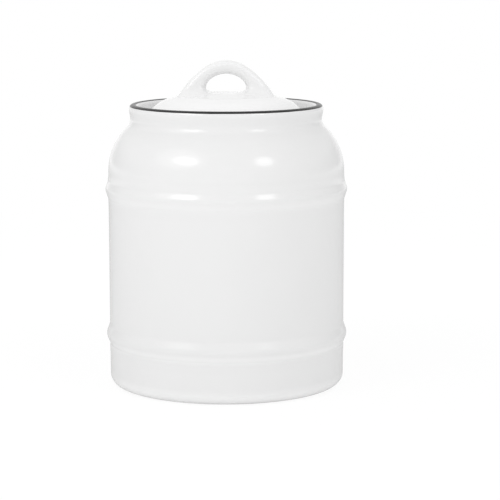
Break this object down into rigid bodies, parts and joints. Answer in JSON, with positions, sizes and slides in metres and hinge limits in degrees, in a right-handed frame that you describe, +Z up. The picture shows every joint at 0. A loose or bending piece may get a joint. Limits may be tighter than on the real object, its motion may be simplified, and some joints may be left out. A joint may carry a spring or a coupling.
{
  "type": "storage jar",
  "caption": "Round ceramic storage jar with raised bands, a rounded shoulder, a flared mouth with a dark glazed lip, and a recessed domed lid that lifts off by its bridge handle.",
  "frame": {"origin": "centre of the foot, on the surface that the jar stands on", "axes": "+Z up along the jar's axis, +X along the lid's handle, -Y towards the picture's viewer"},
  "size_m": [0.1097, 0.1096, 0.1477],
  "materials": {
    "white_glaze": "glossy",
    "black_glaze": "glossy",
    "silicone": "satin"
  },
  "bodies": {
    "jar": {"jar_body": "white_glaze", "rim_band": "black_glaze"},
    "seal": {"seal_ring": "silicone"},
    "lid": {"lid": "white_glaze", "lid_handle": "white_glaze"}
  },
  "joints": [
    {"name": "lid_lift", "type": "slide", "parent": "jar", "child": "seal", "axis": [0, 0, 1], "range_m": [0, 0.06]},
    {"name": "lid_turn", "type": "hinge", "parent": "seal", "child": "lid", "pos_m": [0, 0, 0.12], "axis": [0, 0, 1], "continuous": true}
  ]
}
